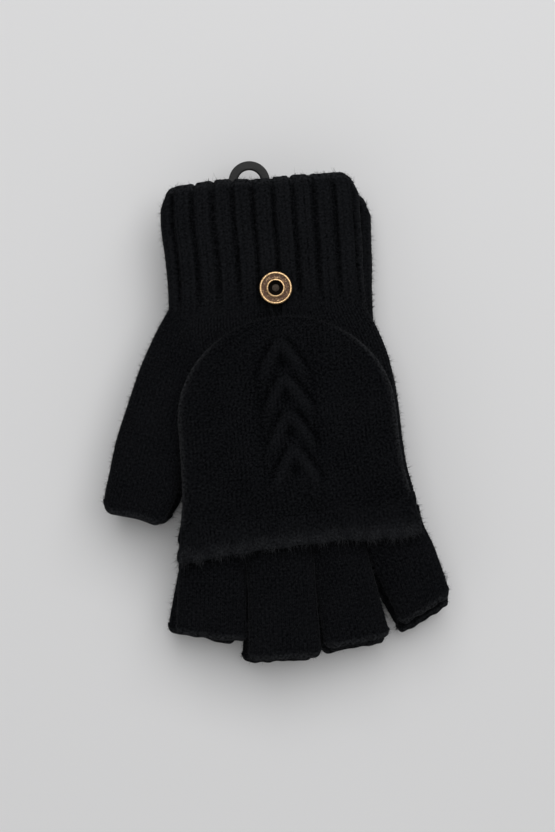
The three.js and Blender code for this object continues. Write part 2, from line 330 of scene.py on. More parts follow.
def mesh_piece(name, rings, lie, uv, relief, wear_and_sheen=None, looped=False):
    """One closed mesh from rings of points, with flat ends, or without ends if the rings come round
    again. Its UV map, in metres of cloth, is called knit; relief and wear, from 0 to 1, say how far
    each point stands up and how rubbed it is. On the wool, relief becomes painted shade between the
    stitches and a painted highlight on their crowns, and wear also paints sheen where cloth is seen
    edge on; on brass, relief says how worn each point is."""
    n, m = rings.shape[:2]
    points = lie.row(rings).reshape(-1, 3)
    rows = n if looped else n - 1
    i, j = np.meshgrid(np.arange(rows), np.arange(m), indexing="ij")
    ni, nj = (i + 1) % n, (j + 1) % m
    quads = np.stack([i * m + j, i * m + nj, ni * m + nj, ni * m + j], -1).reshape(-1, 4)
    centre = points.mean(0)
    a, b, c, d = (points[quads[:, k]] - centre for k in range(4))
    volume = sum(np.einsum("ij,ij->i", a, np.cross(*pair)).sum() for pair in ((b, c), (c, d)))
    flip = volume < 0
    corners = quads[:, ::-1] if flip else quads
    faces = [corners.ravel()]
    totals = [np.full(len(corners), 4)]
    if not looped:
        first, last = np.arange(m), (n - 1) * m + np.arange(m)
        for loop, turn in ((first, not flip), (last, flip)):
            faces.append(loop[::-1] if turn else loop)
            totals.append(np.array([m]))
    flat = np.concatenate(faces)
    totals = np.concatenate(totals)
    mesh = bpy.data.meshes.new(name)
    mesh.vertices.add(len(points))
    mesh.vertices.foreach_set("co", points.astype(np.float32).ravel())
    mesh.loops.add(len(flat))
    mesh.loops.foreach_set("vertex_index", flat.astype(np.int32))
    mesh.polygons.add(len(totals))
    starts = np.concatenate([[0], np.cumsum(totals)[:-1]])
    mesh.polygons.foreach_set("loop_start", starts.astype(np.int32))
    mesh.polygons.foreach_set("use_smooth", np.ones(len(totals), bool))
    if uv is not None:
        layer = mesh.uv_layers.new(name="knit")
        u, v = (np.broadcast_to(part, (n, m)) for part in uv)
        # the map runs on past the seam instead of back to its start
        end = u[:, 0] + (u[:, 1] - u[:, 0]) * m
        near, far = (np.where(nj == 0, end[k], u[k, nj]) for k in (i, ni))
        cu = np.stack([u[i, j], near, far, u[ni, j]], -1)
        cv = np.stack([v[i, j], v[i, nj], v[ni, nj], v[ni, j]], -1)
        pairs = np.stack([cu, cv], -1).reshape(-1, 4, 2)
        pairs = (pairs[:, ::-1] if flip else pairs).reshape(-1, 2) * MM
        full = np.zeros((len(flat), 2))
        full[: len(pairs)] = pairs
        layer.data.foreach_set("uv", full.astype(np.float32).ravel())
    for label, value in (("relief", relief), ("wear_and_sheen", wear_and_sheen)):
        if value is not None:
            point_value(mesh, label, np.broadcast_to(value, (n, m)))
    mesh.update()
    mesh.validate()
    return link(name, mesh)


def settle(piece, body, slot, material, *nodes):
    """Gives a piece its finish, the body it moves with and the frame nodes that it stands for."""
    piece.data.materials.append(material)
    if body:
        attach(piece, body)
    if nodes:
        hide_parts(*nodes)
    return piece


class Sleeve:
    """A knitted tube lying flat, as sections along a path. Each knot is x, y, lean in degrees, half
    width, lowest and highest, from root to mouth; corner is how far the mouth's corners draw back."""

    def __init__(self, knots, corner=2.2, square=0.62):
        self.corner, self.square = corner, square
        knots = np.asarray(knots, float)
        step = np.hypot(np.diff(knots[:, 0]), np.diff(knots[:, 1]))
        run = np.concatenate([[0.0], np.cumsum(step)])
        self.length = run[-1]
        self.way = np.sign(knots[-1, 1] - knots[0, 1])  # up or down the glove
        self.knots = np.column_stack([run, knots])

    def read(self, s):
        """The knot's values at distances s along the path, which runs straight on past its end."""
        out = curve_through(self.knots, np.clip(s, 0.0, self.length))
        over = s - np.clip(s, 0.0, self.length)
        lean = np.radians(out[:, 2])
        out[:, 0] += over * np.sin(lean)
        out[:, 1] += over * np.cos(lean) * self.way
        return out

    def mouth(self, s, reach):
        """0 up to so far from the mouth, rising to 1 at the mouth, as a column."""
        return smoothstep(self.length - reach, self.length, s)[:, None]

    def rings(self, s, inset, count):
        """Rings of points at distances s along the path, each drawn in by its inset."""
        at = self.read(s)
        lean = np.radians(at[:, 2])[:, None]
        half = np.maximum(at[:, 3] - inset, 0.25)
        deep = np.maximum((at[:, 5] - at[:, 4]) / 2 - inset, 0.12)
        flat = superellipse(half, deep, count, self.square)
        middle = ((at[:, 4] + at[:, 5]) / 2)[:, None]
        beyond = (np.abs(flat[..., 0]) - half[:, None] + self.corner) / self.corner
        beyond = np.clip(beyond, 0.0, 0.98)
        pull = self.corner * (1.0 - np.sqrt(1.0 - beyond**2)) * self.mouth(s, 3.0 * self.corner)
        x = at[:, 0:1] + flat[..., 0] * np.cos(lean) - pull * np.sin(lean)
        y = at[:, 1:2] + flat[..., 0] * np.sin(lean) - pull * np.cos(lean) * self.way
        return np.stack([x, y, middle + flat[..., 1]], -1)


def knit_sleeve(
    what, lie, sleeve, wales, per_wale, thick, seed, inner, roll=0.5, sag=None, nose=0.0
):
    """A hand, thumb or finger and its loose fibres: knit outside, a rolled bound-off mouth and a
    plain inside, closed at its root. inner is how far the hollow reaches back from the mouth, sag
    gives how far each point hangs down, and nose rounds the root instead of cutting it."""
    knit = bpy.context.scene.mitten_knit
    count = wales * per_wale
    rings_per_row, swell_at, groove_at, groove_wide = 3.0, 1.1, 3.0, 0.6  # the last three in mm
    step = knit.course / rings_per_row
    outside = np.arange(0.0, sleeve.length + step * 0.5, step)
    from_mouth = outside - sleeve.length
    swell = roll * bell(from_mouth + swell_at)
    groove = 0.35 * roll * bell((from_mouth + groove_at) / groove_wide)
    inset = groove - swell
    if nose:
        short = 1 - np.clip(outside / nose, 0, 1)
        inset = inset + nose * (1.0 - np.sqrt(np.clip(1 - short**2, 0, 1)))
    lip = np.linspace(0.0, math.pi, 9)[1:]
    lip_inset = inset[-1] + (thick / 2) * (1.0 - np.cos(lip))
    back = np.linspace(sleeve.length - 1.0, sleeve.length - inner, max(4, int(inner / 4)))
    s = np.concatenate([outside, sleeve.length + (thick / 2) * np.sin(lip), back])
    inset = np.concatenate([inset, lip_inset, np.full(len(back), lip_inset[-1])])
    grid = sleeve.rings(s, inset, count)
    u = np.broadcast_to(np.arange(count) / count * wales, grid.shape[:2])
    v = np.broadcast_to((s / knit.course)[:, None], grid.shape[:2])
    # the stitches die out at the bound-off edge, and the inside has none
    fade = np.zeros(len(s))
    fade[: len(outside)] = smoothstep(0.0, 1.5, sleeve.length - outside)
    height = stitches(u, v) * fade[:, None]
    soft = slack(grid, seed) - (sag(grid) if sag else 0.0)
    n = normals_of(grid, 2)
    grid = grid + n * (height * knit.relief)[..., None]
    grid[..., 2] += soft
    ripple = waves(grid[..., 0], 0.6 * grid[..., 2], seed + 1, 1.0, 9.0)
    grid[..., 1] += sleeve.mouth(s, 6.0) * 0.45 * ripple
    keep_off_table(grid, lie)
    # rubbed fuzz at the mouth, and on cloth seen edge on painted sheen as well as rubbing
    wear_and_sheen = 0.26 * edge_on(n) + (0.2 * sleeve.mouth(s, 2.4) if roll else 0.0)
    uv = (u * knit.wale, v * knit.course)
    # stitch height passed on as tone: painted shade between the stitches, painted highlight on their
    # crowns
    piece = mesh_piece(f"{lie.side}_{what}_knit", grid, lie, uv, height * 0.75 + 0.25, wear_and_sheen)
    settle(piece, lie.glove, "jersey_knit", knitted_wool(), f"{lie.side}_{what}")
    return piece, halo(what, lie, grid[: len(outside)], lie.glove, "jersey_knit")


def edge_on(n):
    """1 where cloth faces neither back nor palm, as at a glove's sides, where it rubs most; the pale
    rubbed colour laid there is also painted sheen.
    """
    return np.clip(1.0 - np.abs(n[..., 2]), 0.0, 1.0) ** 2


def keep_off_table(grid, lie):
    """The lower glove lies on the table: what would sink into it is pressed flat."""
    if lie.lower:
        floor = HINGE + lie.origin[2] / MM - 0.05
        grid[..., 2] = floor - softplus(floor - grid[..., 2])


def softplus(value):
    """The value where it is above 0 and 0 below it, with the bend eased."""
    ease = 0.35  # mm
    return ease * np.logaddexp(0.0, value / ease)


# ---------------------------------------------------------------- finishes


def linear(colour, lift=1.0):
    """An sRGB colour, as a hex string or three shares, as linear red, green, blue and alpha."""
    if isinstance(colour, str):
        colour = [int(colour[i : i + 2], 16) / 255 for i in (1, 3, 5)]
    shares = [c / 12.92 if c <= 0.04045 else ((c + 0.055) / 1.055) ** 2.4 for c in colour]
    return [lift * c for c in shares] + [1.0]


def add(tree, kind, links=None, **settings):
    """Adds a node: settings are its own values, links what its sockets hold or are joined to."""
    made = tree.nodes.new(kind)
    for key, value in settings.items():
        setattr(made, key, value)
    for socket, value in (links or {}).items():
        if isinstance(value, bpy.types.NodeSocket):
            tree.links.new(value, made.inputs[socket])
        else:
            made.inputs[socket].default_value = value
    return made


def noise(tree, place, scale, detail, roughness=0.5):
    """Cloudy grain, as a socket."""
    links = {"Vector": place, "Scale": scale, "Detail": detail, "Roughness": roughness}
    return add(tree, "ShaderNodeTexNoise", links).outputs["Fac"]


def maths(tree, operation, *values, **settings):
    """A sum of sockets and numbers, as a socket."""
    links = dict(enumerate(values))
    return add(tree, "ShaderNodeMath", links, operation=operation, **settings).outputs[0]


def ramp(tree, value, low, high, at_low=0.0, at_high=1.0):
    """A value run from one range into another and kept inside it, as a socket."""
    links = {"Value": value, "From Min": low, "From Max": high, "To Min": at_low, "To Max": at_high}
    return add(tree, "ShaderNodeMapRange", links).outputs["Result"]


def mixture(tree, share, low, high):
    """A mix of two colours, which may be sockets, as a socket."""
    return add(tree, "ShaderNodeMix", {"Factor": share, 6: low, 7: high}, data_type="RGBA").outputs[2]


def uneven(tree, height, strength, distance):
    """Fine relief, as a normal's socket; distance in metres."""
    links = {"Height": height, "Strength": strength, "Distance": distance}
    return add(tree, "ShaderNodeBump", links).outputs["Normal"]


def point_socket(tree, label):
    """A value that the mesh's points carry, as a socket."""
    return add(tree, "ShaderNodeAttribute", attribute_name=label).outputs["Fac"]


def object_place(tree):
    """Where a point is on its object, as a socket."""
    return add(tree, "ShaderNodeTexCoord").outputs["Object"]


def finish(name):
    """The finish of that name and its empty node tree, or no tree when it is made already."""
    if name in bpy.data.materials:
        return bpy.data.materials[name], None
    material = bpy.data.materials.new(name)
    material.use_nodes = True
    material.node_tree.nodes.clear()
    return material, material.node_tree


def shade(tree, **values):
    """Ends a finish with its shader: Base_Color stands for the socket Base Color, and so on."""
    links = {socket.replace("_", " "): value for socket, value in values.items()}
    shader = add(tree, "ShaderNodeBsdfPrincipled", links)
    add(tree, "ShaderNodeOutputMaterial", {"Surface": shader.outputs["BSDF"]})


def knitted_wool(name="knitted_wool_yarn", lift=1.0, sheen=0.012):
    """Spun wool, dyed black and knitted: light dies between the stitches, and only their fuzzy crowns
    and the cloth seen edge on give a dull grey bloom. Both are painted into the colour: painted shade
    between the stitches, a painted highlight on the crowns, and rubbed fuzz that doubles as painted
    sheen where the cloth is seen edge on."""
    material, tree = finish(name)
    if tree is None:
        return material
    colours = bpy.context.scene.mitten_colours
    cloth = add(tree, "ShaderNodeUVMap", uv_map="knit").outputs["UV"]
    # fibre clumps in the yarn, 1 mm across with finer ones in them; cloudy dye, 18 mm across
    clump = noise(tree, cloth, 980.0, 4.0, 0.72)
    cloud = noise(tree, cloth, 55.0, 2.0)
    # stitch height as tone: painted shade between the stitches and a painted highlight on their
    # crowns
    crown = ramp(tree, point_socket(tree, "relief"), 0.0, 1.0)
    tuft = ramp(tree, clump, 0.36, 0.68)
    faint = maths(tree, "MULTIPLY", cloud, 0.3)
    crown_highlight_and_dye = maths(tree, "MULTIPLY_ADD", crown, 0.7, faint)
    share = ramp(tree, maths(tree, "MULTIPLY_ADD", tuft, 0.75, crown_highlight_and_dye), 0.54, 1.58)
    # dyed wool, clumps and cloud, with the stitches' painted shade and painted highlight in it
    dyed = mixture(tree, share, linear(colours.wool, lift), linear(colours.wool_tips_and_highlight, lift))
    # rubbed fuzz, and painted sheen on cloth seen edge on, in the pale rubbed colour
    rubbed = maths(tree, "MULTIPLY", point_socket(tree, "wear_and_sheen"), tuft)
    rub_and_sheen_share = maths(tree, "MULTIPLY", rubbed, 2.0, use_clamp=True)
    shade(
        tree, Base_Color=mixture(tree, rub_and_sheen_share, dyed, linear(colours.wool_worn_and_sheen)), Roughness=0.96,
        Specular_IOR_Level=0.02, Sheen_Weight=sheen, Sheen_Roughness=0.45,
        Sheen_Tint=(0.62, 0.64, 0.70, 1.0), Normal=uneven(tree, clump, 0.6, 0.00025),
    )
    return material


def loose_wool_fibre():
    """Single fibres that stand out of brushed wool: they catch the light along their edges."""
    return knitted_wool("loose_wool_fibre", lift=1.3, sheen=0.05)


def braided_elastic():
    """Rubber core braided over with black polyester: tighter and slightly brighter than the wool."""
    return knitted_wool("braided_polyester_elastic", lift=1.2, sheen=0.04)


def antique_brass():
    """Stamped brass, blackened and then rubbed: bright warm rims, and a brown grainy patina in the
    hollows, with soot in the deepest."""
    material, tree = finish("antiqued_stamped_brass")
    if tree is None:
        return material
    colours = bpy.context.scene.mitten_colours
    place = object_place(tree)
    # patina grains 0.5 mm across with finer ones in them, rubbing 1.2 mm across
    grain = noise(tree, place, 1900.0, 4.0, 0.7)
    rub = noise(tree, place, 850.0, 2.0)
    worn = point_socket(tree, "relief")
    speckle = maths(tree, "MULTIPLY_ADD", grain, 4.2, -2.1)
    patch = maths(tree, "MULTIPLY_ADD", rub, 0.5, speckle)
    share = ramp(tree, maths(tree, "ADD", worn, patch), 0.42, 1.2)
    patina = linear(colours.patina)
    rubbed = mixture(tree, share, patina, linear(colours.brass))
    sooty = ramp(tree, worn, -0.9, -0.1, 1.0, 0.0)
    shade(
        tree, Base_Color=mixture(tree, sooty, rubbed, linear("#120F0D")), Metallic=1.0,
        Roughness=ramp(tree, share, 0.0, 1.0, 0.62, 0.28), Normal=uneven(tree, grain, 0.5, 0.00006),
    )
    return material


def dull_steel():
    """Drawn steel wire, darkened in the same bath as the brass: grey-brown and barely shining."""
    material, tree = finish("darkened_drawn_steel")
    if tree is None:
        return material
    mottle = noise(tree, object_place(tree), 1500.0, 3.0)
    tint = mixture(tree, mottle, linear("#171513"), linear("#5A5048"))
    shade(tree, Base_Color=tint, Metallic=1.0, Roughness=0.6)
    return material


def moulded_plastic(name, colour, roughness, grain_mm):
    """Injection-moulded polymer: an even colour under a fine satin grain from the mould."""
    material, tree = finish(name)
    if tree is None:
        return material
    place = object_place(tree)
    grain = noise(tree, place, 1.0 / (grain_mm * MM), 2.0)
    flow = noise(tree, place, 180.0, 1.0)
    tint = mixture(tree, flow, linear(colour, 0.8), linear(colour, 1.2))
    normal = uneven(tree, grain, 0.9, 0.00016)
    shade(tree, Base_Color=tint, Roughness=roughness, IOR=1.49, Normal=normal)
    return material


def matt_table_top():
    """Matt pale laminate: one even tone with the faintest mottle."""
    material, tree = finish("matt_pale_laminate")
    if tree is None:
        return material
    mottle = noise(tree, object_place(tree), 6.0, 3.0)
    tone = bpy.context.scene.mitten_colours.floor
    shade(tree, Base_Color=mixture(tree, mottle, linear(tone, 0.985), linear(tone)), Roughness=0.9)
    return material


# ---------------------------------------------------------------- the knitted pieces

# x, y, lean, half width, lowest and highest of each section, root first, mouth last
HAND = [
    (-1.6, -101.4, 0, 52.4, 4.4, 12.0), (1.0, -94, 0, 52.8, 4.2, 12.2),
    (1.9, -86, 0, 51.4, 2.8, BACK), (1.8, -76, 0, 49.6, 0.9, BACK), (1.4, -62, 0, 48.8, 0.35, BACK),
    (0.6, -40, 0, 48.4, 0.35, BACK), (-0.6, -24, 0, 47.6, 0.4, BACK),
    (-2.8, -12, 0, 46.0, 0.6, BACK), (-4.2, -3, 0, 43.4, 1.2, BACK), (-4.2, 3, 0, 41.2, 2.2, 12.4),
    (-3.4, 10, 0, 39.4, 3.4, 11.2),
]
CUFF = [
    (-5.0, -3.4, 0, 42.6, 2.0, 11.7), (-5.1, 0.5, 0, 43.8, 1.4, 12.4),
    (-4.6, 5, 0, 43.2, 1.4, 12.9), (-4, 12, 0, 42.7, 1.4, 13.3), (-4, 30, 0, 43.0, 1.4, 13.4),
    (-4.1, 48, 0, 43.3, 1.4, 13.3),
    (-4, 54, 0, 42.9, 1.6, 13.1), (-3.8, 57, 0, 41.8, 2.2, 12.7),
]
# distance along the thumb, half width, lowest, highest and how far it bows in
THUMB_ROOT, THUMB_LEAN = (-62.9, -61.6), -18.5
THUMB = [
    (-74, 8.5, 3.6, 10.2, 4.6), (-67, 10.2, 3.2, 10.6, 4.0), (-54, 13.1, 2.0, 11.5, 3.3),
    (-40, 15.0, 1.2, 12.0, 2.4), (-22, 15.8, 1.6, 12.3, 1.4), (-4, 15.8, 3.0, 12.3, 0),
    (10, 15.4, 3.6, 12.1, 0), (22, 14.6, 3.7, 12.1, -0.5), (26.2, 13.9, 3.8, 12.0, -0.9),
]
# root: x, half width; middle and tip: x, y, half width, lean; then its share of the fan and how far
# it slips under its neighbour
FINGERS = {
    "index_finger": ((-37.0, 14.6), (-39.4, -118, 14.9, -5), (-42.2, -142.5, 15.4, -13), -1.0, 2.2),
    "middle_finger": ((-8.5, 14.6), (-8.9, -124, 14.9, -1), (-10, -154.6, 15.9, -1), -0.25, 0.0),
    "ring_finger": ((16.9, 11.2), (19.2, -122, 12.9, 5), (22.6, -150.2, 14.5, 7), 0.4, -2.0),
    "little_finger": ((41.8, 13.9), (47.4, -117, 13.7, 18), (54.2, -138.6, 12.8, 28), 1.0, -2.2),
}
FINGER_LOW, FINGER_HIGH = 4.1, 12.0
# loose fibres: how many stand on a square centimetre, and the seed of their draw
FIBRES = {
    "hand": (230.0, 71), "thumb": (260.0, 72), "index_finger": (230.0, 73),
    "middle_finger": (230.0, 74), "ring_finger": (230.0, 75), "little_finger": (230.0, 76),
    "rib_cuff": (230.0, 81), "flap_pocket": (190.0, 82), "flap_welt": (520.0, 83),
}


def make_hand(lie):
    knit_sleeve(
        "hand", lie, Sleeve(HAND), wales=130, per_wale=3, thick=1.7, seed=CLOTH, inner=60.0,
        roll=0.0, nose=4.0,
    )


def make_thumb(lie):
    lean = math.radians(THUMB_LEAN)
    knots = []
    for along, half, low, high, inward in THUMB:
        if along > 15:  # the free end
            along -= lie.trim
        x = THUMB_ROOT[0] + along * math.sin(lean) + inward
        knots.append((x, THUMB_ROOT[1] - along * math.cos(lean), THUMB_LEAN, half, low, high))
    knit_sleeve(
        "thumb", lie, Sleeve(knots, corner=4.0), wales=46, per_wale=4, thick=1.5, seed=CLOTH,
        inner=60.0, nose=7.0,
    )


def make_fingers(lie):
    """The four half fingers, which fan out more in the lower glove."""
    wale = bpy.context.scene.mitten_knit.wale
    level = (FINGER_LOW, FINGER_HIGH)
    hidden, knuckle, girth = -92, -99, 4.1  # inside the hand, where it shows; round to half width
    # the glove's across axis and a point among the fingers, which nothing here uses
    across, anchor = lie.across.tolist(), lie.row([2.0, -120.0, 8.0]).tolist()
    for seed, (name, (root, mid, tip, fan, tuck)) in enumerate(FINGERS.items(), start=31):
        shift = fan * lie.fan

        def sag(grid, tuck=tuck):
            """The edge next to the middle finger slips a little under its neighbour."""
            aside = grid[..., 0] - grid[..., 0].mean(1)[:, None]
            beside = math.copysign(1.0, tuck) * aside / np.maximum(np.abs(aside).max(1), 1.0)[:, None]
            return abs(tuck) * smoothstep(0.0, 1.0, beside) * smoothstep(-100.0, -114.0, grid[..., 1])

        knots = [
            (root[0], hidden, 0, root[1] - 1.0, FINGER_LOW + 0.6, FINGER_HIGH - 0.5),
            (root[0], knuckle, 0, root[1], *level),
            (mid[0] + shift / 2, mid[1], mid[3], mid[2], *level),
            ((mid[0] + tip[0] + 1.5 * shift) / 2, (mid[1] + tip[1] + lie.trim) / 2,
             (mid[3] + tip[3]) / 2, (mid[2] + tip[2]) / 2, *level),
            (tip[0] + shift, tip[1] + lie.trim, tip[3], tip[2], *level),
        ]
        made = knit_sleeve(
            name, lie, Sleeve(knots, square=0.7), wales=int(round(girth * tip[2] / wale)), per_wale=4,
            thick=1.4, seed=seed, inner=42.0, sag=sag,
        )
        for soft in made:
            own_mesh(soft)


def rib_wave(turns):
    """A cuff rib: 0 in the furrow, 1 on the ridge, with the line between its two knit columns."""
    off = np.abs(turns - np.floor(turns) - 0.5) * 2.0
    ridge = 1.0 - smoothstep(0.6, 1.0, off)
    return ridge - 0.07 * bell(off / 0.16)


def make_cuff(lie):
    """The wide-ribbed cuff: a double-sided tube that is open at both ends."""
    knit = bpy.context.scene.mitten_knit
    sleeve = Sleeve(CUFF, corner=6.0)
    per_rib, rib_width, thick = 20, 8.4, 2.2  # points, mm of cloth, mm
    columns, row = 3.2, 1.5  # knit columns to a rib, furrow and all; mm high
    count = knit.ribs * per_rib
    outside = np.arange(0.0, sleeve.length, 0.5)
    lip = np.linspace(0.0, math.pi, 11)
    inside = np.linspace(sleeve.length - 1.0, 3.0, 24)
    s = np.concatenate([outside, sleeve.length + thick / 2 * np.sin(lip), inside])
    lip_inset = thick / 2 * (1 - np.cos(lip))
    inset = np.concatenate([np.zeros(len(outside)), lip_inset, np.full(len(inside), thick)])
    grid = sleeve.rings(s, inset, count)
    turns = np.broadcast_to(np.arange(count) / count * knit.ribs - 0.33, grid.shape[:2])
    rib = rib_wave(turns)
    stitch = stitches(turns * columns + 0.1, np.broadcast_to((s / row)[:, None], grid.shape[:2]))
    grow = smoothstep(-2.0, 19.0, s)[:, None] * (1.0 - 0.55 * sleeve.mouth(s, 6.0))
    amount = grow * np.where(inset < thick * 0.75, 1.0, 0.45)[:, None]
    push = (rib - 0.6) * knit.rib_relief * amount + stitch * knit.relief
    n = normals_of(grid, 6)
    cloth = np.abs(n[..., 1]) < 0.9  # not the mouth's rim
    grid = grid + n * (push * np.where(cloth, 1.0, 0.6))[..., None]
    # the ribs' ends make the mouth scalloped, and the slack cloth makes it wander a little
    scallop = (rib - 0.5) * 0.7 + waves(turns * rib_width, 0.0, 5, 0.6, 40.0)
    grid[..., 1] += sleeve.mouth(s, 5.0) * scallop
    grid[..., 0] += waves(grid[..., 1], turns * 0.3, 8, 0.25, 30.0)
    grid[..., 2] += slack(grid)
    keep_off_table(grid, lie)
    # tone for the cuff: painted shade in the ribs' furrows and between stitches, a painted highlight
    # on ridges and crowns
    tone = np.clip(0.05 + 0.5 * stitch + 0.45 * (rib * grow + 0.85 - 0.85 * grow), 0.0, 1.0)
    uv = (turns * rib_width, np.broadcast_to(s[:, None], grid.shape[:2]))
    # painted sheen as well as rubbing where the cuff is seen edge on, and rubbing at its mouth
    wear_and_sheen = 0.24 * edge_on(n) + 0.1 * sleeve.mouth(s, 2.5)
    piece = mesh_piece(f"{lie.side}_rib_cuff_knit", grid, lie, uv, tone, wear_and_sheen, looped=True)
    settle(piece, lie.glove, "rib_knit", knitted_wool(), f"{lie.side}_rib_cuff")
    halo("rib_cuff", lie, grid[: len(outside) + 6], lie.glove, "rib_knit")


# the flap's sides, as y and x, from below the hem up to where the crown begins
LEFT_EDGE = [(-106, -53.5), (-98, -52.0), (-89.4, -50.5), (-76, -48.7), (-62, -48.1), (-48, -48.0)]
RIGHT_EDGE = [(-106, 56.0), (-98, 54.8), (-89, 52.6), (-81, 50.6), (-65, 48.6), (-48, 48.0)]


def flap_edges(y):
    """Left and right edge of the flap at height y: sides that spread a little, then the crown."""
    low = np.minimum(y, FLAP_SHOULDER)
    left = curve_through(LEFT_EDGE, low)[:, 0]
    right = curve_through(RIGHT_EDGE, low)[:, 0]
    rise = np.clip((y - FLAP_SHOULDER) / FLAP_CROWN, 0.0, 1.0)
    crown = np.sqrt(1.0 - rise**2)
    return left * crown, right * crown


def chevrons(x, y):
    """Relief of the cable: four pairs of leaves up the flap's middle, each pair over a dimple."""
    pitch, first, width, bow, ply = 15.9, -15.0, 2.75, 0.6, 2.9  # mm
    total = np.zeros(np.broadcast(x, y).shape)
    hollow = np.zeros_like(total)
    for k in range(4):
        ax, ay = -0.5 + 0.7 * k, first - pitch * k
        for dx, dy in ((10.4, -17.4), (-9.2, -17.0)):
            reach = math.hypot(dx, dy)
            t = ((x - ax) * dx + (y - ay) * dy) / reach**2
            aside = ((x - ax) * -dy + (y - ay) * dx) / reach * math.copysign(1.0, dx)
            aside = aside - bow * np.sin(math.pi * np.clip(t, 0.0, 1.0))
            along = smoothstep(-0.14, 0.16, t) * (1.0 - smoothstep(0.62, 1.12, t))
            strand = np.cos(np.clip(aside / width, -1.0, 1.0) * math.pi / 2) ** 0.9
            twist = 1.0 + 0.10 * np.cos(t * reach * 2 * math.pi / ply + aside * 1.6)
            total = np.maximum(total, strand * along * twist)
            hollow = np.maximum(hollow, bell(aside - 3.5) * along)
        dimple = np.exp(-(((x - ax) / 1.9) ** 2) - ((y - ay + 9.0) / 2.6) ** 2)
        hollow = np.maximum(hollow, 1.3 * dimple)
    # a purl channel runs down both sides of the cable
    channel = bell((np.abs(x - 0.4) - 12.4) / 1.3)
    channel = channel * smoothstep(-92, -78, y) * smoothstep(-12, -24, y)
    return total - 0.75 * hollow * (1.0 - smoothstep(0.15, 0.45, total)) - 0.3 * channel


def make_flap(lie):
    """The flap: a pocket of two layers, closed round its crown, with the cable up its back."""
    knit = bpy.context.scene.mitten_knit
    count, thick, reach, centre = 340, 1.65, 2.65, 15.55  # points; mm thick, half as deep, high
    back_mouth, palm_mouth = -91.5, -97.4
    straight = np.arange(0.0, 1.0, 0.45 / (FLAP_SHOULDER - back_mouth))
    crown = FLAP_SHOULDER + FLAP_CROWN * np.sin(np.linspace(0.0, math.radians(89.0), 165))
    top_y, under_y = (
        np.concatenate([mouth + (FLAP_SHOULDER - mouth) * straight, crown])
        for mouth in (back_mouth, palm_mouth)
    )
    inner = np.linspace(len(top_y) - 14, 0, 34).astype(int)

    def loop(top, under, inset):
        """Rings round the flap: its back layer at y = top, its palm layer at y = under."""
        left, right = flap_edges(top)
        half = np.maximum((right - left) / 2 - inset, 0.3)
        flat = stadium(half, np.full(len(half), reach) - inset, count)
        # the cloth is pressed thin where the hem is sewn on
        flat[..., 1] *= (1.0 - 0.2 * smoothstep(-83.0, -90.0, top))[:, None]
        x = ((left + right) / 2)[:, None] + flat[..., 0]
        y = top[:, None] + (under - top)[:, None] * smoothstep(-1.6, 1.6, -flat[..., 1])
        return np.stack([x, y, centre + flat[..., 1]], -1)

    outer = loop(top_y, under_y, 0.0)
    lining = loop(top_y[inner], under_y[inner], thick)
    lip = loop(top_y[:1] - 0.6, under_y[:1] - 0.4, thick / 2)
    x, y, z = outer[..., 0], outer[..., 1], outer[..., 2]
    upper = smoothstep(16.2, 17.6, z)  # 1 on the face of the back layer
    height = stitches(x / knit.wale, y / knit.course)
    cable = chevrons(x, y) * knit.cable_relief
    n = normals_of(outer, 20)
    push = height * knit.relief + cable * upper
    half = np.maximum((x.max(1) - x.min(1)) / 2, 1.0)[:, None]
    belly = 1.0 - np.clip(np.abs(x - x.mean(1)[:, None]) / half, 0.0, 1.0) ** 4
    tip = smoothstep(FLAP_SHOULDER + FLAP_CROWN, FLAP_SHOULDER + FLAP_CROWN - 16.0, y)
    sewn = 0.25 + 0.75 * smoothstep(-100.0, -84.0, y)
    puff = upper * belly * tip * sewn * (0.8 + waves(x, y, 41, 0.5 * knit.softness, 30.0))
    outer = outer + n * push[..., None]
    outer[..., 2] += puff
    grid = np.concatenate([outer[::-1], lip, lining[::-1]])
    keep_off_table(grid, lie)
    outside = outer.copy()
    keep_off_table(outside, lie)
    # tone for the flap: painted shade between stitches and in the cable's hollows, painted highlight
    # on its strands
    tone = np.full(grid.shape[:2], 0.3)
    tone[: len(outer)] = (0.25 + 0.5 * height + 0.24 * np.clip(cable * upper, -1.0, 1.0))[::-1]
    # pale rubbed colour on the flap's side edges: rubbed fuzz, with painted sheen where they are seen
    # edge on and in a band along them
    wear_and_sheen = np.zeros(grid.shape[:2])
    aside = np.abs(n[..., 0]) / np.maximum(np.hypot(n[..., 0], n[..., 1]), 1e-6)
    inward = half - np.abs(x - x.mean(1)[:, None])
    band = bell(inward / 1.5) * (1.0 - smoothstep(-20.0, -6.0, y))
    wear_and_sheen[: len(outer)] = (0.3 * edge_on(n) * smoothstep(0.3, 0.9, aside) + 0.2 * band)[::-1]
    uv = (grid[..., 0], grid[..., 1])
    piece = mesh_piece(f"{lie.side}_flap_pocket_knit", grid, lie, uv, tone, wear_and_sheen)
    nodes = (f"{lie.side}_flap_{layer}_layer" for layer in ("back", "palm"))
    settle(piece, None, "jersey_knit", knitted_wool(), *nodes)
    # the heights of the palm and back layers, and a point on each at the shoulder, which nothing here
    # uses; what lies between the two layers is the pocket's side wall
    palm_layer, back_layer = 14.75, 16.35
    start, end = (lie.row([0.0, FLAP_SHOULDER, z]).tolist() for z in (palm_layer, back_layer))
    for soft in (piece, halo("flap_pocket", lie, outside, None, "jersey_knit")):
        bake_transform(soft)


def welt_lines(x):
    """Top line and fold of the flap's hem, which both slope a little from the thumb's side."""
    top = WELT_TOP + 0.3 + 0.042 * x
    fold = -104.6 - 0.0011 * (x - 14.0) ** 2 + 0.3 * np.sin(x / 6.5) + 0.2 * np.sin(x / 2.9 + 1.0)
    return top, fold


